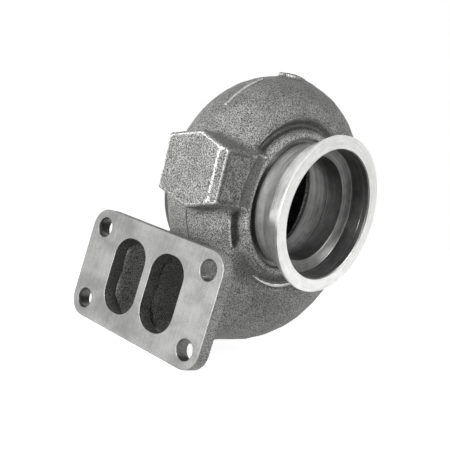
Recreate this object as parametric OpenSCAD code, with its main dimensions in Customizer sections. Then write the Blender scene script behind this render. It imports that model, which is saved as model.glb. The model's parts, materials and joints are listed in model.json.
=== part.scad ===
// Divided twin-scroll turbine housing, one iron casting shown as its regions.
// The turbine axis runs along Y through the origin: the outlet face lies at y = 0
// and the bearing side at positive y. Exhaust enters through the inlet flange at
// negative x, runs along the bottom and turns round the axis to the top and left.

/* [Inlet flange] */
// Bolt spacing along the flange
bolt_long = 100; // [90:1:110]
// Bolt spacing across the flange
bolt_short = 50; // [46:1:56]
// Metal around each bolt hole centre, out to the flange edge
bolt_edge = 12.2; // [10:0.1:15]
// Radius of the flange corners
flange_corner = 13; // [8:0.5:18]
// Thickness of the flange
flange_t = 9.5; // [8:0.5:14]
// Diameter of the bolt holes
bolt_hole_d = 13; // [9:0.5:14]
// Chamfer at the mouth of each bolt hole
bolt_chamfer = 0.4; // [0.2:0.1:1]
// Width of each inlet port
port_w = 29.8; // [24:0.2:31]
// Height of each inlet port
port_h = 50; // [42:0.5:52]
// Corner radius of the ports
port_corner = 13.6; // [8:0.2:14.4]
// Thickness of the wall between the ports
divider_t = 6.4; // [4:0.2:9]
// Distance of the flange face from the turbine axis
flange_reach = 86; // [82:1:100]
// Depth of the flange centre below the turbine axis
flange_drop = 76.7; // [74:0.1:80]

/* [Scroll] */
// Distance of the parting plane from the outlet face
parting_y = 63; // [60:0.5:68]
// Outer radius at the bottom, where the inlet runner joins
scroll_r_bottom = 108; // [104:0.5:114]
// Outer radius at the lower right
scroll_r_lower_right = 110.5; // [104:0.5:116]
// Outer radius at the right
scroll_r_right = 104; // [98:0.5:110]
// Outer radius at the upper right
scroll_r_upper_right = 92; // [88:0.5:98]
// Outer radius at the top
scroll_r_top = 84.7; // [80:0.1:90]
// Outer radius at the upper left
scroll_r_upper_left = 78.4; // [75:0.1:84]
// Outer radius at the left
scroll_r_left = 73.2; // [71:0.1:78]
// Outer radius where the scroll ends at the tongue
scroll_r_tail = 70; // [68:0.5:74]
// Width of the outlet side of the scroll where it starts
scroll_w_start = 38; // [35:0.5:40]
// Width of the bearing side of the scroll where it starts
scroll_w_rear = 34; // [32:0.5:35]
// Width of each side of the scroll at the tail
scroll_w_tail = 29.5; // [27:0.5:33]
// Distance from the cast collar out to the radius at which the scroll is widest
shoulder_gap = 8; // [6:0.5:10]
// Wall thickness of the scroll
wall = 6; // [4.5:0.5:7]

/* [Outlet] */
// Height of the clamp rim above the neck
clamp_rim_h = 5.6; // [4:0.1:8]
// Thickness of the clamp flange rim
rim_t = 2.4; // [1.5:0.1:4]
// Angle of the clamp cone behind the rim, from the flange face
clamp_cone_angle = 22; // [18:1:40]
// Diameter of the outlet bore
outlet_bore_d = 87.4; // [82:0.2:90]
// Depth of the outlet bore
outlet_bore_depth = 15; // [10:0.5:20]
// Chamfer at the mouth of the outlet bore
outlet_chamfer = 0.8; // [0.3:0.1:1.5]
// Wall of the neck round the outlet bore
neck_wall = 3.8; // [3:0.1:5]
// Wall of the neck at its waist, round the wheel outlet bore
waist_wall = 6.2; // [5:0.1:7]
// Distance from the outlet face at which the neck starts to narrow
neck_taper_y = 12; // [9:0.5:14]
// Distance from the outlet face at which the neck reaches its waist
waist_y = 22; // [19:0.5:24]
// Distance of the cast collar from the outlet face
collar_y = 29; // [27:0.5:31]
// Length of the cast collar
collar_l = 11; // [9:0.5:14]
// Width of the turned groove between neck and collar
groove_w = 3; // [2:0.5:4]
// Depth of the turned groove below the collar face
groove_depth = 3; // [1:0.5:4]
// Space turned clear for the clamp round its flange
clamp_clear = 5.4; // [3:0.1:7]

/* [Wheel space] */
// Diameter of the wheel outlet bore
exducer_d = 72.4; // [68:0.2:76]
// Distance at which the step behind the outlet bore ends
step_y = 17.5; // [16:0.5:20]
// Distance at which the shroud starts to flare
flare_y = 30.8; // [28:0.2:34]
// Diameter of the wheel space at the nozzle
inducer_d = 93; // [88:0.5:96]
// Wall between the wheel space and the outside of the cast collar
shroud_wall = 5; // [4:0.5:7]
// Width of the nozzle gap on each side of the divider
nozzle_half = 8; // [6:0.5:10]
// Gap between the divider tip and the shroud ring, measured outwards
divider_tip_gap = 1; // [0.5:0.5:3]

/* [Bearing side] */
// Clearance of the bearing side round the wheel
wheel_clear = 1; // [0.5:0.25:2]
// Wall of the rear nozzle ring round the wheel
rear_ring_wall = 5.5; // [4.5:0.5:8]
// Step from the rear nozzle ring out to the pilot bore of the bearing housing
pilot_step = 1; // [0.5:0.25:2]
// Depth of the pilot bore
pilot_depth = 5; // [3:0.5:6]
// Distance of the bearing face from the outlet face
bearing_y = 98; // [97:0.5:102]
// Wall of the bearing neck round the rear nozzle ring
bearing_neck_wall = 3; // [2.5:0.5:5]
// Depth of the bearing neck below the bearing face
bearing_neck_l = 14; // [12:0.5:16]
// Height of the rear clamp rim above the bearing neck
rear_rim_h = 3.5; // [2.5:0.1:5]
// Thickness of the rear clamp rim
rear_rim_t = 2.5; // [1.5:0.1:3]
// Space turned clear for the rear clamp round its rim
rear_clear = 3.2; // [2.5:0.1:4]
// Depth of that space below the bearing face
rear_clear_depth = 8.2; // [7:0.1:9]

/* [Wastegate boss] */
// Distance of the boss face from the turbine axis
boss_reach = 85; // [82:0.5:90]
// Tilt of the boss face
boss_tilt = 4.5; // [0:0.5:8]
// Width of the boss
boss_w = 50; // [44:1:54]
// Height of the boss at its sides
boss_side_h = 36; // [30:1:42]
// Height of the boss at its ridges
boss_h = 50; // [44:1:54]
// Distance of the boss side from the outlet face
boss_y = 28.5; // [27:0.5:31]
// Height of the boss centre above the turbine axis
boss_z = 3.3; // [0:0.1:6]
// Distance of the boss ridges from the outlet side of the boss
boss_ridge = 22; // [16:1:30]
// Bevel along the outlet edge of the boss
boss_bevel = 4; // [2:0.5:6]

/* [Foundry marks] */
// Angle of the riser pad round the axis, from the horizontal
riser_angle = 87; // [80:1:94]
// Length of the riser pad along the crest
riser_l = 34; // [24:1:40]
// Width of the riser pad
riser_w = 16; // [12:1:24]
// Height of the riser pad above the crest
riser_h = 1; // [0.6:0.2:2.4]
// Angle at which the flash strip starts
flash_from = 114; // [108:1:118]
// Angle at which the flash strip ends
flash_to = 140; // [132:1:144]
// Height of the flash strip
flash_h = 0.8; // [0.4:0.1:1.4]
// Width of the flash strip
flash_w = 2.4; // [1.6:0.2:4]

/* [Hidden] */

front = -1;
rear = 1;
round_fn = 96;
overcut = 1;

iron = [0.45, 0.45, 0.44];
iron_dark = [0.36, 0.36, 0.36];
machined = [0.72, 0.72, 0.71];

flange_l = bolt_long + 2 * bolt_edge;
flange_h = bolt_short + 2 * bolt_edge;
flange_back = -flange_reach + flange_t;
port_shift = (port_w + divider_t) / 2;

scroll_start = -90;
scroll_end = 225;
ring_step = 9;
ring_count = (scroll_end - scroll_start) / ring_step;
lower_last = 9;
right_last = 18;
top_last = 27;
skin_steps = 9;
lobe_steps = 8;

exducer_r = exducer_d / 2;
inducer_r = inducer_d / 2;
outlet_r = outlet_bore_d / 2;
neck_r = outlet_r + neck_wall;
waist_r = exducer_r + waist_wall;
clamp_r = neck_r + clamp_rim_h;
clamp_clear_r = clamp_r + clamp_clear;
core_r = inducer_r + shroud_wall;
divider_tip_r = core_r + divider_tip_gap;
divider_tip_t = divider_t / 2;
wheel_clear_r = inducer_r + wheel_clear;
rear_core_r = wheel_clear_r + rear_ring_wall;
pilot_r = rear_core_r + pilot_step;
bearing_neck_r = rear_core_r + bearing_neck_wall;
rear_rim_r = bearing_neck_r + rear_rim_h;
rear_clear_r = rear_rim_r + rear_clear;
rear_clear_y = bearing_y - rear_clear_depth;
rear_rim_y = bearing_y - rear_rim_t;
rear_cone_y = rear_rim_y - rear_rim_h * tan(clamp_cone_angle);
bearing_neck_y = bearing_y - bearing_neck_l;
pilot_y = bearing_y - pilot_depth;
nozzle_front_y = parting_y - nozzle_half;
nozzle_rear_y = parting_y + nozzle_half;
scroll_shoulder_r = core_r + shoulder_gap;

// The nozzle opens from its gap to the passage within a short rise
throat_rise = 4;
throat_flare = 8;
lobe_rise = 9;
throat_r = core_r + throat_rise;
throat_half = nozzle_half + throat_flare;

// Every shell reaches a little into the turned core, which is then cut out
core_bite = 2;
inner_r = core_r - core_bite;
inner_half = nozzle_half - throat_flare * core_bite / throat_rise;

// The skin dips into a valley round the collar and the bearing neck
valley_w = 3;
valley_drop = 8;
valley_back = 10;
valley_r = core_r + valley_w;
valley_half = parting_y - collar_y - valley_back;

// A smooth curve through the eight stations, 45 degrees apart
station_step = 45;
stations = [
    scroll_r_bottom, scroll_r_lower_right, scroll_r_right, scroll_r_upper_right,
    scroll_r_top, scroll_r_upper_left, scroll_r_left, scroll_r_tail
];
function station(i) = stations[max(0, min(len(stations) - 1, i))];
function blend(p0, p1, p2, p3, u) =
    0.5 * (2 * p1 + (p2 - p0) * u + (2 * p0 - 5 * p1 + 4 * p2 - p3) * u * u
        + (3 * p1 - p0 - 3 * p2 + p3) * u * u * u);
function scroll_r(angle) =
    let (s = (angle - scroll_start) / station_step, i = floor(s))
    blend(station(i - 1), station(i), station(i + 1), station(i + 2), s - i);
function start_w(side) = side == front ? scroll_w_start : scroll_w_rear;
function scroll_w(angle, side) =
    start_w(side) + (scroll_w_tail - start_w(side))
        * (angle - scroll_start) / (scroll_end - scroll_start);
function at(angle, r, y) = [r * cos(angle), y, r * sin(angle)];
function ring_angle(i) = scroll_start + ring_step * i;

// Half sections of the scroll, as radius and distance from the parting plane
function skin(r, w) = concat(
    [for (k = [0:skin_steps])
        let (t = 90 * k / skin_steps)
        [scroll_shoulder_r + (r - scroll_shoulder_r) * cos(t), w * sin(t)]],
    [[valley_r, w - valley_drop], [inner_r, valley_half]]
);
function lobe(r, w) =
    let (top = r - wall, side = w - wall, mid = scroll_shoulder_r + lobe_rise * lobe_fill(top))
    concat(
        [[inner_r, inner_half], [throat_r, throat_half]],
        [for (k = [lobe_steps:-1:1])
            let (t = 90 * k / lobe_steps)
            [mid + (top - mid) * cos(t), side * sin(t)]],
        [[top, divider_t / 2], [top, 0]]
    );
// Share of the rise that is left where the passage gets low
function lobe_fill(top) = let (room = (top - scroll_shoulder_r) / (2 * lobe_rise)) min(1, room);
function shell_section(r, w) = concat(skin(r, w), lobe(r, w));
function place(angle, side, section) =
    [for (p = section) at(angle, p[0], parting_y + side * p[1])];

// A closed solid through a list of rings of 2m points. Points k and 2m - 1 - k face
// each other across the section, so its ends are closed by strips between them.
module loft(rings, flip) {
    n = len(rings[0]);
    last = len(rings) - 1;
    walls = [for (i = [0:last - 1]) for (j = [0:n - 1])
        let (a = i * n + j, b = i * n + (j + 1) % n, c = b + n, d = a + n)
        each [[a, c, b], [a, d, c]]];
    cap = [for (j = [0:n / 2 - 2])
        let (a = j, b = j + 1, c = n - 2 - j, d = n - 1 - j)
        each [[a, b, c], [a, c, d]]];
    far_cap = [for (f = cap) [for (k = [2:-1:0]) f[k] + last * n]];
    faces = concat(walls, cap, far_cap);
    turned = [for (f = faces) [for (k = [2:-1:0]) f[k]]];
    polyhedron(points = [for (ring = rings) each ring], faces = flip ? turned : faces);
}

module scroll_shell(side, from, to) {
    rings = [for (i = [from:to])
        let (a = ring_angle(i))
        place(a, side, shell_section(scroll_r(a), scroll_w(a, side)))];
    loft(rings, side == front);
}

// The scroll without its passages, with the same facets as its two shells
module scroll_solid(from, to) {
    m = len(skin(scroll_r_top, scroll_w_start));
    n = 2 * m - 1;
    last = to - from;
    rings = [for (i = [from:to])
        let (a = ring_angle(i), r = scroll_r(a),
             outlet_skin = skin(r, scroll_w(a, front)), bearing_skin = skin(r, scroll_w(a, rear)))
        concat(place(a, front, [for (k = [m - 1:-1:1]) outlet_skin[k]]),
            place(a, rear, bearing_skin))];
    walls = [for (i = [0:last - 1]) for (j = [0:n - 1])
        let (a = i * n + j, b = i * n + (j + 1) % n, c = b + n, d = a + n)
        each j < m - 1 ? [[a, d, b], [b, d, c]] : [[a, c, b], [a, d, c]]];
    cap = [for (j = [0:m - 2])
        let (a = j, b = j + 1, c = n - 2 - j, d = n - 1 - j)
        each b == c ? [[a, b, d]] : [[a, b, c], [a, c, d]]];
    far_cap = [for (f = cap) [for (k = [2:-1:0]) f[k] + last * n]];
    polyhedron(points = [for (ring = rings) each ring], faces = concat(walls, cap, far_cap));
}

// Turns a shape made along Z so that it lies along the turbine axis
module on_axis(y = 0) {
    translate([0, y, 0]) rotate([-90, 0, 0]) children();
}

module disc(r, from, to) {
    on_axis(from) cylinder(r = r, h = to - from, $fn = round_fn);
}

// Space of the turned rings, cut out of what is cast around them
module core_space(side) {
    if (side == front) {
        turned([
            [0, -overcut], [clamp_clear_r, -overcut], [clamp_clear_r, collar_y],
            [core_r, collar_y], [core_r, bearing_y], [0, bearing_y]
        ]);
    } else {
        end_y = bearing_y + overcut;
        turned([
            [0, parting_y - overcut], [rear_core_r, parting_y - overcut],
            [rear_core_r, bearing_neck_y], [bearing_neck_r, bearing_neck_y],
            [bearing_neck_r, rear_clear_y], [rear_clear_r, rear_clear_y],
            [rear_clear_r, end_y], [0, end_y]
        ]);
    }
}

module scroll_part(side, from, to) {
    color(iron) difference() {
        scroll_shell(side, from, to);
        core_space(side);
    }
}

module scroll_front_lower() { scroll_part(front, 0, lower_last); }
module scroll_front_right() { scroll_part(front, lower_last, right_last); }
module scroll_front_top() { scroll_part(front, right_last, top_last); }
module scroll_front_tail() { scroll_part(front, top_last, ring_count); }
module scroll_rear_lower() { scroll_part(rear, 0, lower_last); }
module scroll_rear_right() { scroll_part(rear, lower_last, right_last); }
module scroll_rear_top() { scroll_part(rear, right_last, top_last); }
module scroll_rear_tail() { scroll_part(rear, top_last, ring_count); }

// The wall between the two gas passages, thinner at its inner edge
module scroll_divider() {
    rings = [for (i = [0:ring_count])
        let (a = ring_angle(i), root = scroll_r(a) - wall)
        [at(a, root, parting_y - divider_t / 2), at(a, root, parting_y + divider_t / 2),
         at(a, inner_r, parting_y + divider_tip_t / 2),
         at(a, inner_r, parting_y - divider_tip_t / 2)]];
    color(iron) difference() {
        loft(rings, false);
        disc(divider_tip_r, 0, bearing_y);
    }
}

// Inlet runner: blends from the flange ports to the first section of the scroll.
// Its first steps are a plain twin tube, then it opens at the tongue to the wheel
runner_steps = 8;
tube_last = 2;
throat_last = 5;
runner_w = port_shift + port_w / 2 + wall;
runner_half_h = port_h / 2 + wall;
corner_power = 0.42;
lobe_turn = 150;
runner_x0 = flange_back;
function ease(u) = u * u * (3 - 2 * u);
function squared(t, power) = sign(t) * pow(abs(t), power);
function mix(a, b, u) = [for (k = [0:len(a) - 1]) a[k] * (1 - u) + b[k] * u];
function box_skin(n) = [for (k = [0:n - 1])
    let (t = -90 + 180 * k / (n - 1))
    [flange_drop - runner_half_h * squared(sin(t), corner_power),
     runner_w * squared(cos(t), corner_power)]];
function box_lobe(n) = [for (k = [0:n - 1])
    let (t = lobe_turn * (1 - 2 * k / (n - 1)))
    [flange_drop - port_h / 2 * squared(sin(t), corner_power),
     port_shift + port_w / 2 * squared(cos(t), corner_power)]];
root_half_h = port_h / 2 * squared(sin(lobe_turn), corner_power);
box_root_top = flange_drop - root_half_h;
box_root_bottom = flange_drop + root_half_h;
scroll_root = scroll_r_bottom - wall;
function runner_skin_end(side) =
    concat(skin(scroll_r_bottom, start_w(side)), [[inner_r, 0]]);
function runner_lobe_end(side) =
    let (ring = lobe(scroll_r_bottom, start_w(side)))
    concat([[throat_r, 0], [throat_r, divider_t / 2]],
        [for (k = [1:len(ring) - 1]) ring[k]]);
runner_skin_start = box_skin(len(runner_skin_end(front)));
runner_lobe_start = concat([[box_root_top, 0], [box_root_top, divider_t / 2]],
    box_lobe(len(runner_lobe_end(front)) - 4),
    [[box_root_bottom, divider_t / 2], [box_root_bottom, 0]]);
function runner_section(u, side) = concat(
    mix(runner_skin_start, runner_skin_end(side), ease(u)),
    mix(runner_lobe_start, runner_lobe_end(side), ease(u)));
function runner_x(i) = runner_x0 * (1 - i / runner_steps);

// The top of the runner climbs round the collar, and fades where the tail covers it
climb_end = core_r * cos(station_step);
function climb(x) =
    let (near = min(-x, climb_end), throat_x = runner_x(tube_last),
         fade = min(1, (x - throat_x) / (-climb_end - throat_x)))
    (inner_r - sqrt(inner_r * inner_r - near * near)) * max(0, fade);
function climbed(k, p, x) =
    k > skin_steps && k < len(runner_skin_start) ? p[0] - climb(x) : p[0];

module runner_shell(side, from, to) {
    rings = [for (i = [from:to])
        let (x = runner_x(i), section = runner_section(i / runner_steps, side))
        [for (k = [0:len(section) - 1])
            let (p = section[k]) [x, parting_y + side * p[1], -climbed(k, p, x)]]];
    loft(rings, side == front);
}

// Opening from the runner to the wheel, between the tongue and the scroll start
module tongue_window(side) {
    span = 360 + scroll_start - scroll_end;
    window_r = scroll_shoulder_r + throat_rise;
    section = [[inner_r, -overcut], [inner_r, inner_half], [throat_r, throat_half],
        [window_r, throat_half], [window_r, -overcut]];
    points = [for (p = section) [p[0], side * p[1]]];
    on_axis(parting_y) rotate([0, 0, -360 - scroll_start])
        rotate_extrude(angle = span, $fn = round_fn) polygon(points);
}

module runner_part(side, from, to) {
    color(iron) difference() {
        runner_shell(side, from, to);
        scroll_solid(top_last, ring_count);
        tongue_window(side);
        core_space(side);
    }
}

module runner_front() { color(iron) runner_shell(front, 0, tube_last); }
module runner_rear() { color(iron) runner_shell(rear, 0, tube_last); }
module throat_front() { runner_part(front, tube_last, throat_last); }
module throat_rear() { runner_part(rear, tube_last, throat_last); }
module tongue_front() { runner_part(front, throat_last, runner_steps); }
module tongue_rear() { runner_part(rear, throat_last, runner_steps); }

module runner_divider() {
    rings = [for (i = [0:runner_steps])
        let (u = ease(i / runner_steps), x = runner_x(i),
             top = box_root_top * (1 - u) + throat_r * u,
             bottom = box_root_bottom * (1 - u) + scroll_root * u)
        [for (q = [[-1, bottom], [1, bottom], [1, top], [-1, top]])
            [x, parting_y + q[0] * divider_t / 2, -q[1]]]];
    color(iron) difference() {
        loft(rings, false);
        scroll_solid(top_last, ring_count);
        disc(divider_tip_r, 0, bearing_y);
    }
}

// Rounded rectangle made of straight pieces and true circles
module rounded_plate(w, h, r) {
    square([w - 2 * r, h], center = true);
    square([w, h - 2 * r], center = true);
    for (sx = [-1, 1], sy = [-1, 1])
        translate([sx * (w / 2 - r), sy * (h / 2 - r)]) circle(r = r, $fn = round_fn);
}

// Stands a shape drawn in a plane upright on the inlet face, height towards +X
module on_inlet() {
    translate([-flange_reach, parting_y, -flange_drop]) rotate([90, 0, 90]) children();
}

module inlet_flange() {
    color(iron) on_inlet() difference() {
        linear_extrude(flange_t) rounded_plate(flange_l, flange_h, flange_corner);
        for (s = [-1, 1])
            translate([s * port_shift, 0, -overcut])
                linear_extrude(flange_t + 2 * overcut)
                    rounded_plate(port_w, port_h, port_corner);
        for (sx = [-1, 1], sy = [-1, 1])
            translate([sx * bolt_long / 2, sy * bolt_short / 2, 0]) bolt_hole();
    }
}

module bolt_hole() {
    translate([0, 0, -overcut])
        cylinder(d = bolt_hole_d, h = flange_t + 2 * overcut, $fn = round_fn);
    rotate_extrude($fn = round_fn) polygon([
        [0, -overcut], [bolt_hole_d / 2 + bolt_chamfer + overcut, -overcut],
        [bolt_hole_d / 2, bolt_chamfer], [0, bolt_chamfer]
    ]);
}

cone_y = rim_t + clamp_rim_h * tan(clamp_cone_angle);
groove_y = collar_y + groove_depth;
groove_r = waist_r + groove_w;
collar_round = 1.5;
collar_end_y = collar_y + collar_l;
flare_r = exducer_r + groove_y - flare_y;
taper_steps = 6;
flare_steps = 8;

module turned(points) {
    on_axis() rotate_extrude($fn = round_fn) polygon(points);
}

module clamp_flange() {
    color(machined) turned([
        [outlet_r, outlet_chamfer], [outlet_r + outlet_chamfer, 0], [clamp_r, 0],
        [clamp_r, rim_t], [neck_r, cone_y], [outlet_r, cone_y]
    ]);
}

module outlet_neck() {
    taper = [for (k = [0:taper_steps]) let (u = k / taper_steps)
        [neck_r + (waist_r - neck_r) * ease(u), neck_taper_y + (waist_y - neck_taper_y) * u]];
    color(machined) turned(concat(
        [[outlet_r, cone_y], [neck_r, cone_y]], taper,
        [[waist_r, groove_y], [flare_r, groove_y], [exducer_r, flare_y],
         [exducer_r, step_y], [outlet_r, outlet_bore_depth]]
    ));
}

module cast_collar() {
    color(iron_dark) turned([
        [groove_r, collar_y], [core_r - collar_round, collar_y],
        [core_r, collar_y + collar_round], [core_r, collar_end_y], [groove_r, collar_end_y]
    ]);
}

// Follows the tips of the turbine blades from the outlet to the nozzle
module shroud_ring() {
    flare = [for (k = [0:flare_steps]) let (u = sin(90 * k / flare_steps))
        [flare_r + (inducer_r - flare_r) * (1 - cos(90 * k / flare_steps)),
         groove_y + (nozzle_front_y - groove_y) * u]];
    color(iron_dark) turned(concat(
        flare,
        [[core_r, nozzle_front_y], [core_r, collar_end_y], [groove_r, collar_end_y],
         [groove_r, groove_y]]
    ));
}

module nozzle_rear_ring() {
    lip_y = nozzle_rear_y + throat_flare * (rear_core_r - core_r) / throat_rise;
    color(iron_dark) turned([
        [wheel_clear_r, nozzle_rear_y], [core_r, nozzle_rear_y], [rear_core_r, lip_y],
        [rear_core_r, pilot_y], [wheel_clear_r, pilot_y]
    ]);
}

// Its step is the seat of the heat shield
module bearing_neck() {
    color(iron) turned([
        [rear_core_r, bearing_neck_y], [bearing_neck_r, bearing_neck_y],
        [bearing_neck_r, rear_cone_y], [pilot_r, rear_cone_y],
        [pilot_r, pilot_y], [rear_core_r, pilot_y]
    ]);
}

// Clamp flange for the bearing housing
module bearing_flange() {
    pilot_chamfer = 1;
    color(machined) turned([
        [pilot_r, rear_cone_y], [bearing_neck_r, rear_cone_y], [rear_rim_r, rear_rim_y],
        [rear_rim_r, bearing_y], [pilot_r + pilot_chamfer, bearing_y],
        [pilot_r, bearing_y - pilot_chamfer]
    ]);
}

boss_bite = 6;
boss_back = core_r - boss_bite;
boss_depth = boss_reach - boss_back;

// Blank boss across both passages, for a wastegate seat; left unmachined
module wastegate_boss() {
    outline = [
        [0, -boss_side_h / 2], [boss_ridge, -boss_h / 2], [boss_w, -boss_side_h / 2],
        [boss_w, boss_side_h / 2], [boss_ridge, boss_h / 2], [0, boss_side_h / 2]
    ];
    plan = [
        [0, boss_bevel], [boss_bevel, 0], [boss_depth, 0], [boss_depth, boss_w], [0, boss_w]
    ];
    color(iron) difference() {
        translate([-boss_reach, boss_y, boss_z]) rotate([0, -boss_tilt, 0]) intersection() {
            rotate([90, 0, 90]) linear_extrude(boss_depth) polygon(outline);
            translate([0, 0, -boss_h]) linear_extrude(2 * boss_h) polygon(plan);
        }
        scroll_solid(right_last, ring_count);
        core_space(front);
    }
}

// Stub of the feeder, ground flat on the crest of the scroll
module riser_pad() {
    crest = scroll_r(riser_angle);
    depth = riser_l * riser_l / (8 * crest) + riser_h;
    color(machined) difference() {
        rotate([0, -riser_angle, 0]) translate([crest + riser_h, parting_y, 0])
            rotate([0, -90, 0]) linear_extrude(2 * depth)
                rounded_plate(riser_l, riser_w, riser_w / 3);
        scroll_solid(lower_last, top_last);
    }
}

// Thin ridge where the mould halves met
module flash_strip() {
    flash_steps = 6;
    rings = [for (i = [0:flash_steps])
        let (a = flash_from + (flash_to - flash_from) * i / flash_steps, r = scroll_r(a))
        [at(a, r - flash_h, parting_y - flash_w / 2), at(a, r - flash_h, parting_y + flash_w / 2),
         at(a, r + flash_h, parting_y + flash_w / 6), at(a, r + flash_h, parting_y - flash_w / 6)]];
    color(machined) difference() {
        loft(rings, true);
        scroll_solid(right_last, ring_count);
    }
}

inlet_flange();
runner_front();
runner_rear();
throat_front();
throat_rear();
tongue_front();
tongue_rear();
runner_divider();
scroll_front_lower();
scroll_front_right();
scroll_front_top();
scroll_front_tail();
scroll_rear_lower();
scroll_rear_right();
scroll_rear_top();
scroll_rear_tail();
scroll_divider();
clamp_flange();
outlet_neck();
cast_collar();
shroud_ring();
nozzle_rear_ring();
bearing_neck();
bearing_flange();
wastegate_boss();
riser_pad();
flash_strip();
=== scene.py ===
"""Looks of the twin-scroll turbine housing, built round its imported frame.

The cast regions become one continuous skin: their solids are read as distance
fields, joined with fillets, cut by the machining and meshed again. The machined
regions keep their solids' shape and get broken edges.
"""

import json
import math
from functools import cached_property

import bmesh
import bpy
import numpy as np
import openvdb
from mathutils import Matrix, Vector


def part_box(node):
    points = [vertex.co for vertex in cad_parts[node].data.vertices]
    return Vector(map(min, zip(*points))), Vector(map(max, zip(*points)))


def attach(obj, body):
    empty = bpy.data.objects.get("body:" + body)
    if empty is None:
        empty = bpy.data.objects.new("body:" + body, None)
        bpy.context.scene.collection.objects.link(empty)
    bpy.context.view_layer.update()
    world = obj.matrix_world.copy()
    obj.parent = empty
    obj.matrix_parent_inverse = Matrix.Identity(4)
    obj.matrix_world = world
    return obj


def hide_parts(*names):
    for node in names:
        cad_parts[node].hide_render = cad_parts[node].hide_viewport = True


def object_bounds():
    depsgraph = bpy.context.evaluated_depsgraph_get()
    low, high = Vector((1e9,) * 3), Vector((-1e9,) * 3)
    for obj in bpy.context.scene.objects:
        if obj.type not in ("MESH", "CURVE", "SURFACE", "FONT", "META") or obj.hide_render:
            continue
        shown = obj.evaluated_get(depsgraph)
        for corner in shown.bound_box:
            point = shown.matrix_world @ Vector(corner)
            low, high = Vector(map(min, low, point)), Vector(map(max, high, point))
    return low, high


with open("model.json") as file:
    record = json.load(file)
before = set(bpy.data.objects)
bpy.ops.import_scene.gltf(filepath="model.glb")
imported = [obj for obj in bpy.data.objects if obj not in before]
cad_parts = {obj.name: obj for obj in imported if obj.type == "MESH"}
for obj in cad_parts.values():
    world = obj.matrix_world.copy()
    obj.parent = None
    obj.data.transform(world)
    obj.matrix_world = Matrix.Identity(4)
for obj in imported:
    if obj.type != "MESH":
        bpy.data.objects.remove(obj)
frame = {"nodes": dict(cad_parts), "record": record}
cad_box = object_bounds()
nodes = frame["nodes"]
mounts = {m["name"]: m for m in frame["record"]["mounts"]}
MM = 0.001


def corners(name):
    """The low and the high corner of a node's box."""
    low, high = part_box(name)
    return Vector(low), Vector(high)


# Finish of the riser pad, which is ground lower than its solid
PAD_GROUND = 0.9 * MM
PAD_LOSS = 0.3 * MM

# Sizes taken from the frame
flange_low, flange_high = corners("inlet_flange")
parting_y = flange_low.y / 2 + flange_high.y / 2
flange_mid_z = flange_low.z / 2 + flange_high.z / 2
boss_low, boss_high = corners("wastegate_boss")
rim_low, rim_high = corners("clamp_flange")
rim_r = rim_high.z
groove_y = corners("outlet_neck")[1].y
collar_low, collar_high = corners("cast_collar")
collar_y = collar_low.y
collar_r = collar_high.z
rear_neck_r = corners("bearing_neck")[1].z
rear_rim_high = corners("bearing_flange")[1]
pad_low, pad_high = corners("riser_pad")
pad_r = math.hypot(pad_low.x / 2 + pad_high.x / 2, pad_high.z) - PAD_GROUND
flash_low, flash_high = corners("flash_strip")
flash_end = Vector((flash_low.x, flash_low.y / 2 + flash_high.y / 2, flash_low.z))
bolt_sizes = mounts["inlet_bolts"]["dims"]
bolt_y = bolt_sizes["spacing_x_mm"] / 2 * MM
bolt_z = bolt_sizes["spacing_y_mm"] / 2 * MM
bolt_r = bolt_sizes["hole_r_mm"] * MM

# Sizes that the frame's boxes don't show
GROOVE_R = 45.4 * MM
CLEARANCE_R = rim_r + 5.4 * MM
REAR_CLEARANCE_R = rear_rim_high.z + 3.2 * MM
REAR_CLEARANCE_Y = rear_rim_high.y - 8.2 * MM
PORT_HALF_WIDTH = 33 * MM
PORT_HALF_HEIGHT = 25 * MM
PORT_SPARE = 3 * MM
ABOVE_FLANGE = 8 * MM
BEYOND = 50 * MM

# Grid of the distance fields, and the gap that closes the seams between regions
VOXEL = 0.8 * MM
BAND = 14
MARGIN = 12 * MM
SEAM_GAP = 0.5 * MM

# Fillets, and how many blur passes round off the shell, the body and the last additions
FILLETS = {"cast_collar": 6 * MM, "wastegate_boss": 5 * MM, "bearing_neck": 4 * MM}
FLANGE_FILLET = 9 * MM
SMALL_FILLET = 1 * MM
FLASH_BALL_R = 1.4 * MM
SHELL_PASSES = 8
BODY_PASSES = 2
LAST_PASSES = 1
WALL_LOSS = 0.2 * MM

# Waves of the cast skin: height, length and seed of each
WAVES = (
    (0.20 * MM, 12 * MM, 3),
    (0.09 * MM, 4.5 * MM, 5),
    (0.06 * MM, 1.9 * MM, 7),
)

# Rubbed edges with painted highlights, and painted shade in hollows, found from the skin's relief in
# millimetres
RELIEF_PASSES = 3
EDGE_FROM = 0.075
BOSS_EDGE_FROM = 0.045
CREASE_SHADE_FROM = 0.03
RELIEF_GAIN = 13
RUBBED_R = 49.5 * MM
COLLAR_WEAR = 0.55
# Painted highlight: how fast the lightened edges fade where they face up or down
LEVEL_HIGHLIGHT_LOSS = 1.6
# Painted shade: how dark the ports, the boss's side facing -Y and the upward faces are made
PORT_SHADE = 0.5
BOSS_SHADE = 0.75
TOP_SHADE = 0.5

# Where the parting line ends, and beside the boss, where the lathe cuts keep the dark cast skin as
# painted shade
PARTING_END_X = -50 * MM
SHADED_CUT_X = -30 * MM
SHADED_CUT_Z = -33 * MM

# Broken edges of the machined pieces
PLATE_BEVEL = 1.1 * MM
PLATE_FRONT_SHARE = 0.55
FLASH_BEVEL = 0.1 * MM
LATHE_BEVEL = 0.3 * MM
BEVEL_SEGMENTS = 2
WELD = 0.001 * MM
SHARP_ANGLE = math.radians(35)
FLAT_ANGLE = math.radians(0.2)

# Least share of a normal along an axis for a face that points that way
FACING = 0.9
LATHE_FACING = 0.99
FLAT_FACING = 0.999

# Camera, at the photograph's viewing angle
LENS = 63.64
SENSOR = 36
CAMERA_PLACE = Vector((-0.43805, -0.29761, 0.00444))
AZIMUTH = math.radians(-48.793)
ELEVATION = math.radians(3.357)
ROLL = math.radians(16.830)

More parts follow.
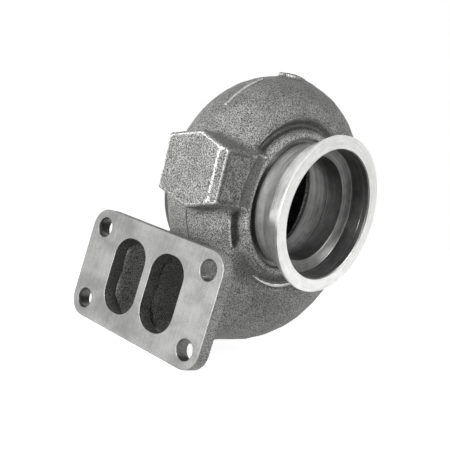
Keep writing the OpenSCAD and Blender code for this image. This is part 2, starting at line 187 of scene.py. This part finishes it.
# Floor, world and lamps
WHITE = (1, 1, 1, 1)
FLOOR_COLOR = (0.8, 0.8, 0.8, 1)
FLOOR_HALF = 12.0
FLOOR_GAP = 0.2 * MM
FLOOR_SHOWN = 0.84
WORLD_LIGHT = 0.25
WORLD_SHOWN = 1.0
LAMP_TARGET = Vector((0, 0.05, 0))


def make_camera():
    """A camera that looks along its azimuth and elevation, turned by its roll."""
    forward = Vector((
        -math.sin(AZIMUTH) * math.cos(ELEVATION),
        math.cos(AZIMUTH) * math.cos(ELEVATION),
        -math.sin(ELEVATION),
    ))
    level_right = forward.cross(Vector((0, 0, 1))).normalized()
    level_up = level_right.cross(forward)
    right = level_right * math.cos(ROLL) + level_up * math.sin(ROLL)
    up = right.cross(forward)
    turn = Matrix((right, up, -forward)).transposed().to_4x4()
    data = bpy.data.cameras.new("camera")
    data.lens = LENS
    data.sensor_width = SENSOR
    camera = bpy.data.objects.new("camera", data)
    camera.matrix_world = Matrix.Translation(CAMERA_PLACE) @ turn
    bpy.context.scene.collection.objects.link(camera)
    bpy.context.scene.camera = camera


class Shader:
    """The nodes of a material or world under construction, with short calls."""

    def __init__(self, owner, output="ShaderNodeOutputMaterial"):
        owner.use_nodes = True
        self.owner = owner
        self.tree = owner.node_tree
        self.tree.nodes.clear()
        self.output = self.node(output)

    @cached_property
    def coords(self):
        return self.node("ShaderNodeTexCoord").outputs["Object"]

    def node(self, kind, **settings):
        made = self.tree.nodes.new(kind)
        for key, value in settings.items():
            setattr(made, key, value)
        return made

    def link(self, source, target):
        self.tree.links.new(source, target)

    def feed(self, socket, value):
        """Gives a socket a plain value, or links another node's output to it."""
        if isinstance(value, bpy.types.NodeSocket):
            self.link(value, socket)
        else:
            socket.default_value = value

    def axes(self):
        """The place on each axis, by name."""
        made = self.node("ShaderNodeSeparateXYZ")
        self.link(self.coords, made.inputs[0])
        return made.outputs

    def stretched(self, scale):
        made = self.node("ShaderNodeMapping")
        made.inputs["Scale"].default_value = scale
        self.link(self.coords, made.inputs["Vector"])
        return made.outputs["Vector"]

    def lathe_coords(self, around=0.02):
        """Radius and place on the turbine axis, with a little of the way round."""
        x, y, z = self.axes()
        squares = self.math("ADD", self.math("MULTIPLY", x, x), self.math("MULTIPLY", z, z))
        join = self.node("ShaderNodeCombineXYZ")
        self.link(self.math("SQRT", squares), join.inputs[0])
        self.link(y, join.inputs[1])
        self.link(self.math("MULTIPLY", self.math("ADD", x, z), around), join.inputs[2])
        return join.outputs[0]

    def noise(self, size_mm, detail=3, rough=0.55, coords=None):
        made = self.node("ShaderNodeTexNoise")
        made.inputs["Scale"].default_value = 1 / (size_mm * MM)
        made.inputs["Detail"].default_value = detail
        made.inputs["Roughness"].default_value = rough
        self.link(coords or self.coords, made.inputs["Vector"])
        return made.outputs["Fac"]

    def attribute(self, name):
        return self.node("ShaderNodeAttribute", attribute_name=name).outputs["Fac"]

    def math(self, operation, first, second=0.0):
        made = self.node("ShaderNodeMath", operation=operation)
        self.feed(made.inputs[0], first)
        self.feed(made.inputs[1], second)
        return made.outputs[0]

    def weighted(self, *pairs):
        """Sum of values, each times its weight."""
        total = None
        for value, weight in pairs:
            term = self.math("MULTIPLY", value, weight)
            total = term if total is None else self.math("ADD", total, term)
        return total

    def ramp(self, fac, low, high, from_value=0.0, to_value=1.0):
        """A smooth step between two values while fac goes from low to high."""
        made = self.node("ShaderNodeMapRange", interpolation_type="SMOOTHSTEP")
        made.inputs["From Min"].default_value = low
        made.inputs["From Max"].default_value = high
        made.inputs["To Min"].default_value = from_value
        made.inputs["To Max"].default_value = to_value
        self.link(fac, made.inputs["Value"])
        return made.outputs["Result"]

    def mix(self, fac, first, second, blend="MIX"):
        made = self.node("ShaderNodeMix", data_type="RGBA", blend_type=blend)
        self.feed(made.inputs["Factor"], fac)
        self.feed(made.inputs[6], first)
        self.feed(made.inputs[7], second)
        return made.outputs[2]

    def bump(self, height, depth_mm, strength=1.0, below=None):
        """Bumps of a height, on top of those below."""
        made = self.node("ShaderNodeBump")
        made.inputs["Distance"].default_value = depth_mm * MM
        made.inputs["Strength"].default_value = strength
        self.link(height, made.inputs["Height"])
        if below:
            self.link(below, made.inputs["Normal"])
        return made.outputs["Normal"]

    def seen_directly(self):
        """1 for rays that show the background: the camera's, reflected and through glass."""
        path = self.node("ShaderNodeLightPath").outputs
        seen = self.math("MAXIMUM", path["Is Camera Ray"], path["Is Glossy Ray"])
        return self.math("MAXIMUM", seen, path["Is Transmission Ray"])

    def surface(self, inputs):
        """Ends a material with a Principled surface that has these inputs."""
        made = self.node("ShaderNodeBsdfPrincipled")
        for name, value in inputs.items():
            self.feed(made.inputs[name], value)
        self.link(made.outputs[0], self.output.inputs["Surface"])
        return self.owner


def shader(name):
    return Shader(bpy.data.materials.new(name))


def grey(value):
    """A grey with a trace of warmth."""
    return (value, value, value * 0.985, 1.0)


# Materials
def parting_line(s):
    """Weight of the dark line that the mould's parting left below the boss."""
    place = s.axes()
    from_parting = s.math("ABSOLUTE", s.math("SUBTRACT", place["Y"], parting_y))
    line = s.ramp(from_parting, 0.3 * MM, 0.8 * MM, 0.75, 0.0)
    below_boss = s.ramp(place["Z"], boss_low.z, boss_low.z + MM, 1.0, 0.0)
    at_inlet = s.ramp(place["X"], PARTING_END_X - MM, PARTING_END_X, 1.0, 0.0)
    return s.math("MULTIPLY", s.math("MULTIPLY", line, below_boss), at_inlet)


def cast_iron(name, dark, light, edge_wear_and_highlight=0.75):
    """Shot-blasted sand-cast skin: fine grain, pits, stains, rubbed edges that also carry painted
    highlights, and painted shade.
    """
    s = shader(name)
    grain = s.noise(0.8, detail=1, rough=0.65)
    speckle = s.noise(0.6, detail=1)
    tone = s.ramp(s.weighted((grain, 0.6), (speckle, 0.4)), 0.38, 0.63)
    color = s.mix(tone, grey(dark), grey(light))
    patches = s.noise(15, detail=4, rough=0.6)
    stains = s.mix(s.ramp(patches, 0.35, 0.68), grey(0.72), grey(1.0))
    color = s.mix(1.0, color, stains, "MULTIPLY")
    # Rubbed edges are lightened, partly as wear and partly as painted highlight
    edge = s.math("MULTIPLY", s.attribute("edge"), s.ramp(grain, 0.35, 0.55, 0.5, 1.0))
    color = s.mix(s.ramp(edge, 0.3, 0.9), color, grey(edge_wear_and_highlight))
    # Painted shade: the colour is darkened by the point attribute that holds the shade of hollows, the
    # groove, the ports, the boss's side and the tops
    painted_shade = s.ramp(s.attribute("painted_shade"), 0.1, 0.9, 0.0, 0.6)
    color = s.mix(painted_shade, color, grey(0.04))
    color = s.mix(parting_line(s), color, grey(0.02))
    coarse = s.bump(s.noise(2.8, detail=3), 0.3, 0.7)
    return s.surface({
        "Base Color": color,
        "Roughness": s.ramp(speckle, 0.3, 0.7, 0.62, 0.46),
        "Normal": s.bump(tone, 0.16, 1.0, coarse),
        "Metallic": 0.08,
        "Specular IOR Level": 0.3,
    })


def machined_iron(name):
    """Milled flat face with faint streaks along its length."""
    s = shader(name)
    streaks = s.noise(1.0, detail=3, coords=s.stretched((1.0, 1.0, 0.08)))
    wide = s.noise(9.0, detail=3, coords=s.stretched((1.0, 0.5, 1.0)))
    stains = s.noise(24, detail=4, rough=0.6)
    fine = s.noise(0.7, detail=1)
    tone = s.weighted((streaks, 0.2), (wide, 0.3), (stains, 0.3), (fine, 0.2))
    return s.surface({
        "Base Color": s.mix(s.ramp(tone, 0.38, 0.62), grey(0.20), grey(0.35)),
        "Roughness": s.ramp(streaks, 0.3, 0.7, 0.5, 0.36),
        "Normal": s.bump(s.weighted((streaks, 0.6), (fine, 0.4)), 0.03, 0.5),
        "Metallic": 0.7,
    })


def turned_iron(name, low, high, rough, groove_shade_from=None):
    """Lathe-turned surface with fine rings and faint chatter, with painted shade from the collar's
    face on along the axis.
    """
    s = shader(name)
    rings = s.noise(0.45, detail=2, coords=s.lathe_coords())
    bands = s.noise(2.5, detail=2, coords=s.lathe_coords(0.1))
    blotch = s.noise(8, detail=4, rough=0.6)
    tone = s.weighted((rings, 0.4), (bands, 0.25), (blotch, 0.35))
    color = s.mix(s.ramp(tone, 0.36, 0.64), grey(low), grey(high))
    # Painted shade: the colour darkens from the collar's face on along the axis, over the groove
    # behind the collar and everything further back
    if groove_shade_from:
        shaded_groove = s.ramp(s.axes()["Y"], groove_shade_from - MM, groove_shade_from, 0.0, 0.85)
        color = s.mix(shaded_groove, color, grey(0.05))
    return s.surface({
        "Base Color": color,
        "Roughness": s.ramp(rings, 0.3, 0.7, *rough),
        "Normal": s.bump(rings, 0.02, 0.6),
        "Metallic": 0.9,
    })


cast = cast_iron("cast_skin", dark=0.045, light=0.44)
# Painted light: a lighter copy of the cast skin for the plate's back and sides
lit_plate_side = cast_iron("cast_side_painted_light", dark=0.1, light=0.52)
# Painted shade: a dark copy of the cast skin for the inlet ports' walls
shaded_port_wall = cast_iron("cast_port_painted_shade", dark=0.035, light=0.19, edge_wear_and_highlight=0.3)
rubbed = cast_iron("cast_rubbed", dark=0.3, light=0.7)
machined = machined_iron("machined_face")
faced = turned_iron("turned_face", low=0.58, high=0.75, rough=(0.36, 0.28))
turned = turned_iron("turned_outside", low=0.52, high=0.8, rough=(0.38, 0.26), groove_shade_from=collar_y)
# Painted shade: a dark copy of the turned metal for bores, inner end faces and the plate's bolt holes
shaded_bore = turned_iron("turned_bore_painted_shade", low=0.09, high=0.19, rough=(0.45, 0.32))

# Distance fields of the cast regions
lowest = np.floor((np.array(cad_box[0]) - MARGIN) / VOXEL).astype(int)
highest = np.ceil((np.array(cad_box[1]) + MARGIN) / VOXEL).astype(int)
first_cell = tuple(int(v) for v in lowest)
grid_shape = tuple(highest - lowest + 1)
grid_axes = [
    ((np.arange(count) + start) * VOXEL).astype(np.float32)
    for count, start in zip(grid_shape, lowest)
]
grid_x = grid_axes[0][:, None, None]
grid_y = grid_axes[1][None, :, None]
grid_z = grid_axes[2][None, None, :]
grid_r = np.sqrt(grid_x**2 + grid_z**2)


def sample(points, **faces):
    """Signed distance on the grid of a closed mesh of triangles or quads, in metres."""
    field = openvdb.FloatGrid.createLevelSetFromPolygons(
        np.ascontiguousarray(points, np.float32),
        transform=openvdb.createLinearTransform(VOXEL),
        halfWidth=BAND,
        **{kind: np.ascontiguousarray(points_of, np.uint32) for kind, points_of in faces.items()},
    )
    values = np.empty(grid_shape, np.float32)
    field.copyToArray(values, ijk=first_cell)
    return values


def skin_of(values):
    """The zero surface of a field, as points and quads."""
    field = openvdb.FloatGrid(BAND * VOXEL)
    field.transform = openvdb.createLinearTransform(VOXEL)
    field.copyFromArray(values, ijk=first_cell)
    field.gridClass = openvdb.GridClass.LEVEL_SET
    return field.convertToQuads(0.0)


def node_field(name):
    """Field of one of the frame's nodes."""
    mesh = nodes[name].data
    points = np.empty(len(mesh.vertices) * 3, np.float32)
    mesh.vertices.foreach_get("co", points)
    mesh.calc_loop_triangles()
    triangles = np.empty(len(mesh.loop_triangles) * 3, np.int32)
    mesh.loop_triangles.foreach_get("vertices", triangles)
    return sample(points.reshape(-1, 3), triangles=triangles.reshape(-1, 3))


def joined(names):
    """One field for regions that touch face to face, without their seams."""
    values = node_field(names[0])
    for name in names[1:]:
        np.minimum(values, node_field(name), out=values)
    points, quads = skin_of(values - SEAM_GAP)
    return sample(points, quads=quads) + SEAM_GAP


def filleted(first, second, width):
    """Union with a concave fillet where the two fields meet."""
    near = np.clip(width - np.abs(first - second), 0, None) / width
    return np.minimum(first, second) - near * near * width / 4


def softened(values, passes):
    """A field with its edges rounded by a small binomial blur."""
    for _ in range(passes):
        for axis in range(3):
            behind = np.roll(values, 1, axis)
            ahead = np.roll(values, -1, axis)
            values = values / 2 + (behind + ahead) / 4
    return values


def turned_space(radius, start, end, inner=0.0):
    """Field of a round bar or a ring on the turbine axis."""
    across = np.maximum(grid_r - radius, inner - grid_r)
    return np.maximum(across, np.maximum(start - grid_y, grid_y - end))


def ball(centre, radius):
    """Field of a ball."""
    across = np.hypot(grid_x - centre.x, grid_y - centre.y)
    return np.hypot(across, grid_z - centre.z) - radius


def port_space(spare):
    """Field of the block that holds both inlet ports, with its sides moved out."""
    across = np.abs(grid_y - parting_y) - PORT_HALF_WIDTH - spare
    up = np.abs(grid_z - flange_mid_z) - PORT_HALF_HEIGHT - spare
    return np.maximum(np.maximum(across, up), grid_x - flange_high.x - BEYOND)


def blended(values, base, part, ease=False):
    """Values between the knots of a lattice, given each point's cell and part."""
    if ease:
        part = part * part * (3 - 2 * part)
    total = np.zeros(len(part))
    for corner in np.ndindex(2, 2, 2):
        weight = np.prod(np.where(corner, part, 1 - part), axis=1)
        total += weight * values[tuple((base + corner).T)]
    return total


def value_at(values, points):
    """Values of a field at the points."""
    place = points / VOXEL - lowest
    base = np.floor(place).astype(int)
    return blended(values, base, place - base)


def cell_noise(points, cell, seed):
    """Smooth random values from -1 to 1 at the points, one knot per cell."""
    rng = np.random.default_rng(seed)
    place = points / cell
    base = np.floor(place).astype(int)
    part = place - base
    base -= base.min(0)
    table = rng.uniform(-1, 1, base.max(0) + 2)
    return blended(table, base, part, ease=True)


def new_piece(name, mesh, slot, materials, *replaced):
    """A piece of the visual model that stands for the replaced nodes."""
    piece = bpy.data.objects.new(name, mesh)
    bpy.context.scene.collection.objects.link(piece)
    for material in materials:
        mesh.materials.append(material)
    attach(piece, "root")
    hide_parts(*replaced)
    return piece


# Cast skin
SHELL = [n for n in nodes if n.startswith(("runner_", "throat_", "tongue_", "scroll_"))]
ADDED = [*FILLETS, "riser_pad"]
LATHE_PIECES = {
    "clamp_flange": "outlet_clamp_ring",
    "outlet_neck": "turned_neck",
    "shroud_ring": "shroud_bore",
    "nozzle_rear_ring": "rear_nozzle_wall",
    "bearing_flange": "bearing_clamp_ring",
}


def cast_field():
    """The whole casting, passages included, before any machining."""
    shell = joined(SHELL)
    body = np.minimum(softened(shell, SHELL_PASSES), shell + WALL_LOSS)
    for name, width in FILLETS.items():
        body = filleted(body, node_field(name), width)
    flange = node_field("inlet_flange")
    plain = np.minimum(body, flange)
    in_ports = port_space(PORT_SPARE) < 0
    body = np.where(in_ports, plain, filleted(body, flange, FLANGE_FILLET))
    body = softened(body, BODY_PASSES)
    pad = np.maximum(node_field("riser_pad") + PAD_LOSS, grid_r - pad_r)
    body = filleted(body, pad, SMALL_FILLET)
    body = filleted(body, ball(flash_end, FLASH_BALL_R), SMALL_FILLET)
    body = softened(body, LAST_PASSES)
    before_flange = np.minimum(flange_high.x - grid_x, flange_high.z + ABOVE_FLANGE - grid_z)
    return np.maximum(body, np.maximum(-flange, before_flange))


def machined_field(body):
    """The casting after the lathe has cut its two ends."""
    cuts = [
        turned_space(CLEARANCE_R, -BEYOND, collar_y),
        turned_space(GROOVE_R, -BEYOND, groove_y),
        turned_space(REAR_CLEARANCE_R, REAR_CLEARANCE_Y, rear_rim_high.y + BEYOND, rear_neck_r),
    ]
    cuts += [node_field(name) for name in LATHE_PIECES]
    for cut in cuts:
        body = np.maximum(body, -cut)
    return body


def snapped(points):
    """Moves points next to a lathe cut onto it, and marks them for the bright turned face, except
    beside the boss, where painted shade keeps them cast skin.
    """
    reach = 0.55 * VOXEL
    radius = np.hypot(points[:, 0], points[:, 2])
    y = points[:, 1]
    # Painted shade: beside the boss the cut faces keep the dark cast skin, not the bright turned face
    bright = (points[:, 0] > SHADED_CUT_X) | (points[:, 2] < SHADED_CUT_Z)
    marked = np.zeros(len(points), bool)
    floors = [
        (collar_y, GROOVE_R, CLEARANCE_R),
        (REAR_CLEARANCE_Y, rear_neck_r, REAR_CLEARANCE_R),
    ]
    for level, inner, outer in floors:
        near = (np.abs(y - level) < reach) & (radius > inner - reach) & (radius < outer + reach)
        points[near, 1] = level
        marked |= near & (radius > collar_r + reach) & bright
    walls = [
        (CLEARANCE_R, 0, collar_y),
        (GROOVE_R, collar_y, groove_y),
        (REAR_CLEARANCE_R, REAR_CLEARANCE_Y, rear_rim_high.y),
    ]
    for level, start, end in walls:
        near = (np.abs(radius - level) < reach) & (y > start - reach) & (y < end + reach)
        points[near] *= np.where([True, False, True], (level / radius[near])[:, None], 1)
        marked |= near & bright
    return marked


def above(values, start):
    """How far values are above a start, from 0 to 1."""
    return np.clip((values - start) * RELIEF_GAIN, 0, 1)


def wear_highlight_and_shade(points, normals, relief):
    """How far each point is a rubbed edge with painted highlight, and how much painted shade it gets.
    """
    radius = np.hypot(points[:, 0], points[:, 2])
    in_boss = ((points > boss_low) & (points < boss_high)).all(axis=1)
    on_collar = (np.abs(points[:, 1] - collar_y) < VOXEL / 2) & (radius < RUBBED_R)
    shaded_groove = (points[:, 1] > collar_y + VOXEL / 2) & (radius < GROOVE_R + VOXEL / 2)
    in_port = (
        (np.abs(points[:, 1] - parting_y) < PORT_HALF_WIDTH + MM)
        & (np.abs(points[:, 2] - flange_mid_z) < PORT_HALF_HEIGHT + MM)
        & (points[:, 0] < flange_high.x + BEYOND)
    )
    # Lightened edges, partly wear and partly painted highlight, start lower on the boss
    edge = above(relief, np.where(in_boss, BOSS_EDGE_FROM, EDGE_FROM))
    edge[on_collar] = COLLAR_WEAR
    edge[in_port] = 0
    # Painted highlight: edges that face up or down lose their lightening
    edge *= np.clip(1 - LEVEL_HIGHLIGHT_LOSS * np.abs(normals[:, 2]), 0, 1)
    # Painted shade: creases, where the relief dips, are darkened
    painted_shade = above(-relief, CREASE_SHADE_FROM)
    # Painted shade: the groove behind the collar is fully dark
    painted_shade[shaded_groove] = 1
    # Painted shade in the inlet ports
    painted_shade[in_port] = PORT_SHADE
    # Painted shade: the boss's side facing -Y, and more the further a face points up
    boss_side = in_boss & (normals[:, 1] < -FACING)
    shade = np.where(boss_side, BOSS_SHADE, TOP_SHADE * normals[:, 2])
    return edge, np.maximum(painted_shade, shade)


def make_cast_body():
    """The whole cast skin as one piece, with its waves and its lathe cuts."""
    field = machined_field(cast_field())
    points, quads = skin_of(field)
    points = points.astype(float)
    relief = value_at(softened(field, RELIEF_PASSES) - field, points) / MM
    machined_points = snapped(points)
    mesh = bpy.data.meshes.new("cast_body")
    mesh.from_pydata(points.tolist(), [], quads.tolist())
    mesh.flip_normals()
    mesh.update()
    normals = np.empty(len(points) * 3)
    mesh.vertex_normals.foreach_get("vector", normals)
    normals = normals.reshape(-1, 3)
    edge, painted_shade = wear_highlight_and_shade(points, normals, relief)
    waves = sum(height * cell_noise(points, length, seed) for height, length, seed in WAVES)
    waves[machined_points] = 0
    points += normals * waves[:, None]
    points = np.clip(points, cad_box[0], cad_box[1])
    mesh.vertices.foreach_set("co", points.ravel())
    # Point attributes: the rubbed edges' wear and painted highlight, and the painted shade
    for name, values in (("edge", edge), ("painted_shade", painted_shade)):
        layer = mesh.attributes.new(name, "FLOAT", "POINT")
        layer.data.foreach_set("value", values)
    cut_faces = machined_points[quads].all(axis=1)
    mesh.polygons.foreach_set("material_index", cut_faces.astype(np.int32))
    mesh.shade_smooth()
    mesh.update()
    new_piece("cast_body", mesh, "cast_iron", [cast, faced], *SHELL, *ADDED)


# Machined pieces
def finished(name, piece_name, slot, width, material_of, weight_of, *materials):
    """A machined node again as a piece, with welded points and broken edges."""
    source = nodes[name].data
    mesh = bpy.data.meshes.new(piece_name)
    mesh.from_pydata([v.co[:] for v in source.vertices], [], [p.vertices[:] for p in source.polygons])
    shape = bmesh.new()
    shape.from_mesh(mesh)
    bmesh.ops.remove_doubles(shape, verts=shape.verts, dist=WELD)
    bmesh.ops.dissolve_limit(shape, verts=shape.verts, edges=shape.edges, angle_limit=FLAT_ANGLE)
    shape.normal_update()
    for face in shape.faces:
        face.smooth = max(abs(face.normal.x), abs(face.normal.y)) < FLAT_FACING
        face.material_index = material_of(face)
    weights = shape.edges.layers.float.new("bevel_weight_edge")
    for edge in shape.edges:
        sharp = edge.is_manifold and edge.calc_face_angle() > SHARP_ANGLE
        edge[weights] = weight_of(edge) if sharp else 0.0
        edge.smooth = not sharp or edge[weights] > 0
    shape.to_mesh(mesh)
    shape.free()
    piece = new_piece(piece_name, mesh, slot, materials, name)
    bevel = piece.modifiers.new("broken_edges", "BEVEL")
    bevel.width = width
    bevel.segments = BEVEL_SEGMENTS
    bevel.limit_method = "WEIGHT"
    piece.modifiers.new("even_normals", "WEIGHTED_NORMAL").keep_sharp = True


PLATE_FRONT, PLATE_SIDE, PLATE_PORT, PLATE_HOLE = range(4)
LATHE_FACE, LATHE_OUTSIDE, LATHE_BORE = range(3)


def plate_place(point):
    """Whether a point of the plate is at a port, and whether at a bolt hole."""
    from_mid_y = abs(point.y - parting_y)
    from_mid_z = abs(point.z - flange_mid_z)
    at_port = from_mid_y < PORT_HALF_WIDTH + MM and from_mid_z < PORT_HALF_HEIGHT + MM
    to_bolt = math.hypot(from_mid_y - bolt_y, from_mid_z - bolt_z)
    return at_port, to_bolt < bolt_r + MM


def plate_material(face):
    """Machined front, cast back and sides in a lighter copy as painted light, port walls and drilled
    holes in dark copies as painted shade.
    """
    centre = face.calc_center_median()
    at_port, at_bolt = plate_place(centre)
    if abs(face.normal.x) > FACING:
        return PLATE_FRONT if centre.x < flange_low.x + MM else PLATE_SIDE
    if at_bolt:
        return PLATE_HOLE
    return PLATE_PORT if at_port else PLATE_SIDE


def plate_weight(edge):
    """Fine bevels on the machined face, a rounder one on the cast back."""
    middle = (edge.verts[0].co + edge.verts[1].co) / 2
    if middle.x < flange_low.x + MM:
        return PLATE_FRONT_SHARE
    return 0.0 if any(plate_place(middle)) else 1.0


def lathe_material(face):
    """End faces, outer surfaces and bores, told apart by where they point; bores and end faces away
    from the ends take a dark copy as painted shade.
    """
    middle = sum((v.co for v in face.verts), Vector()) / len(face.verts)
    if abs(face.normal.y) > LATHE_FACING:
        at_end = middle.y < rim_low.y + MM or middle.y > rear_rim_high.y - MM
        return LATHE_FACE if at_end else LATHE_BORE
    outward = face.normal.x * middle.x + face.normal.z * middle.z
    return LATHE_OUTSIDE if outward > 0 else LATHE_BORE


def only_material(face):
    return 0


def full_weight(edge):
    return 1.0


def make_floor():
    """A white floor below the part, which still takes its shadow."""
    floor_z = cad_box[0][2] - FLOOR_GAP
    sides = ((-1, -1), (1, -1), (1, 1), (-1, 1))
    mesh = bpy.data.meshes.new("floor")
    mesh.from_pydata([(x * FLOOR_HALF, y * FLOOR_HALF, floor_z) for x, y in sides], [], [(0, 1, 2, 3)])
    floor = bpy.data.objects.new("floor", mesh)
    bpy.context.scene.collection.objects.link(floor)
    s = shader("floor")
    material = s.surface({
        "Base Color": FLOOR_COLOR,
        "Roughness": 0.9,
        "Specular IOR Level": 0.0,
        "Emission Color": WHITE,
        "Emission Strength": s.math("MULTIPLY", s.seen_directly(), FLOOR_SHOWN),
    })
    mesh.materials.append(material)


def make_world():
    """A world that shows white and lights the part with less."""
    world = bpy.data.worlds.new("world")
    bpy.context.scene.world = world
    s = Shader(world, "ShaderNodeOutputWorld")
    mix = s.node("ShaderNodeMixShader")
    s.link(s.seen_directly(), mix.inputs[0])
    for strength, socket in ((WORLD_LIGHT, mix.inputs[1]), (WORLD_SHOWN, mix.inputs[2])):
        background = s.node("ShaderNodeBackground")
        background.inputs["Color"].default_value = WHITE
        background.inputs["Strength"].default_value = strength
        s.link(background.outputs[0], socket)
    s.link(mix.outputs[0], s.output.inputs["Surface"])


def make_lamp(name, place, size, power, mirrored=True, diffuse=True):
    """An area lamp aimed at the part, which may light only diffusely or only in reflection."""
    data = bpy.data.lights.new(name, "AREA")
    data.shape = "RECTANGLE"
    data.size, data.size_y = size
    data.energy = power
    lamp = bpy.data.objects.new(name, data)
    lamp.location = place
    aim = LAMP_TARGET - Vector(place)
    lamp.rotation_euler = aim.to_track_quat("-Z", "Y").to_euler()
    lamp.visible_glossy = mirrored
    lamp.visible_diffuse = diffuse
    bpy.context.scene.collection.objects.link(lamp)


make_camera()
make_cast_body()
finished("inlet_flange", "inlet_plate", "machined_iron", PLATE_BEVEL, plate_material, plate_weight,
         machined, lit_plate_side, shaded_port_wall, shaded_bore)
finished("flash_strip", "parting_flash", "cast_iron", FLASH_BEVEL, only_material, full_weight,
         rubbed)
for node_name, piece_name in LATHE_PIECES.items():
    finished(node_name, piece_name, "turned_iron", LATHE_BEVEL, lathe_material, full_weight,
             faced, turned, shaded_bore)
make_floor()
make_world()
make_lamp("key", place=(-0.97, -0.06, 0.04), size=(0.35, 0.4), power=13)
make_lamp("fill", place=(0.8, -0.6, -0.06), size=(0.5, 0.5), power=7, mirrored=False)
make_lamp("sheen", place=(-0.14, -0.75, 0.65), size=(0.3, 0.3), power=18, diffuse=False)
bpy.context.scene.view_settings.view_transform = "Standard"
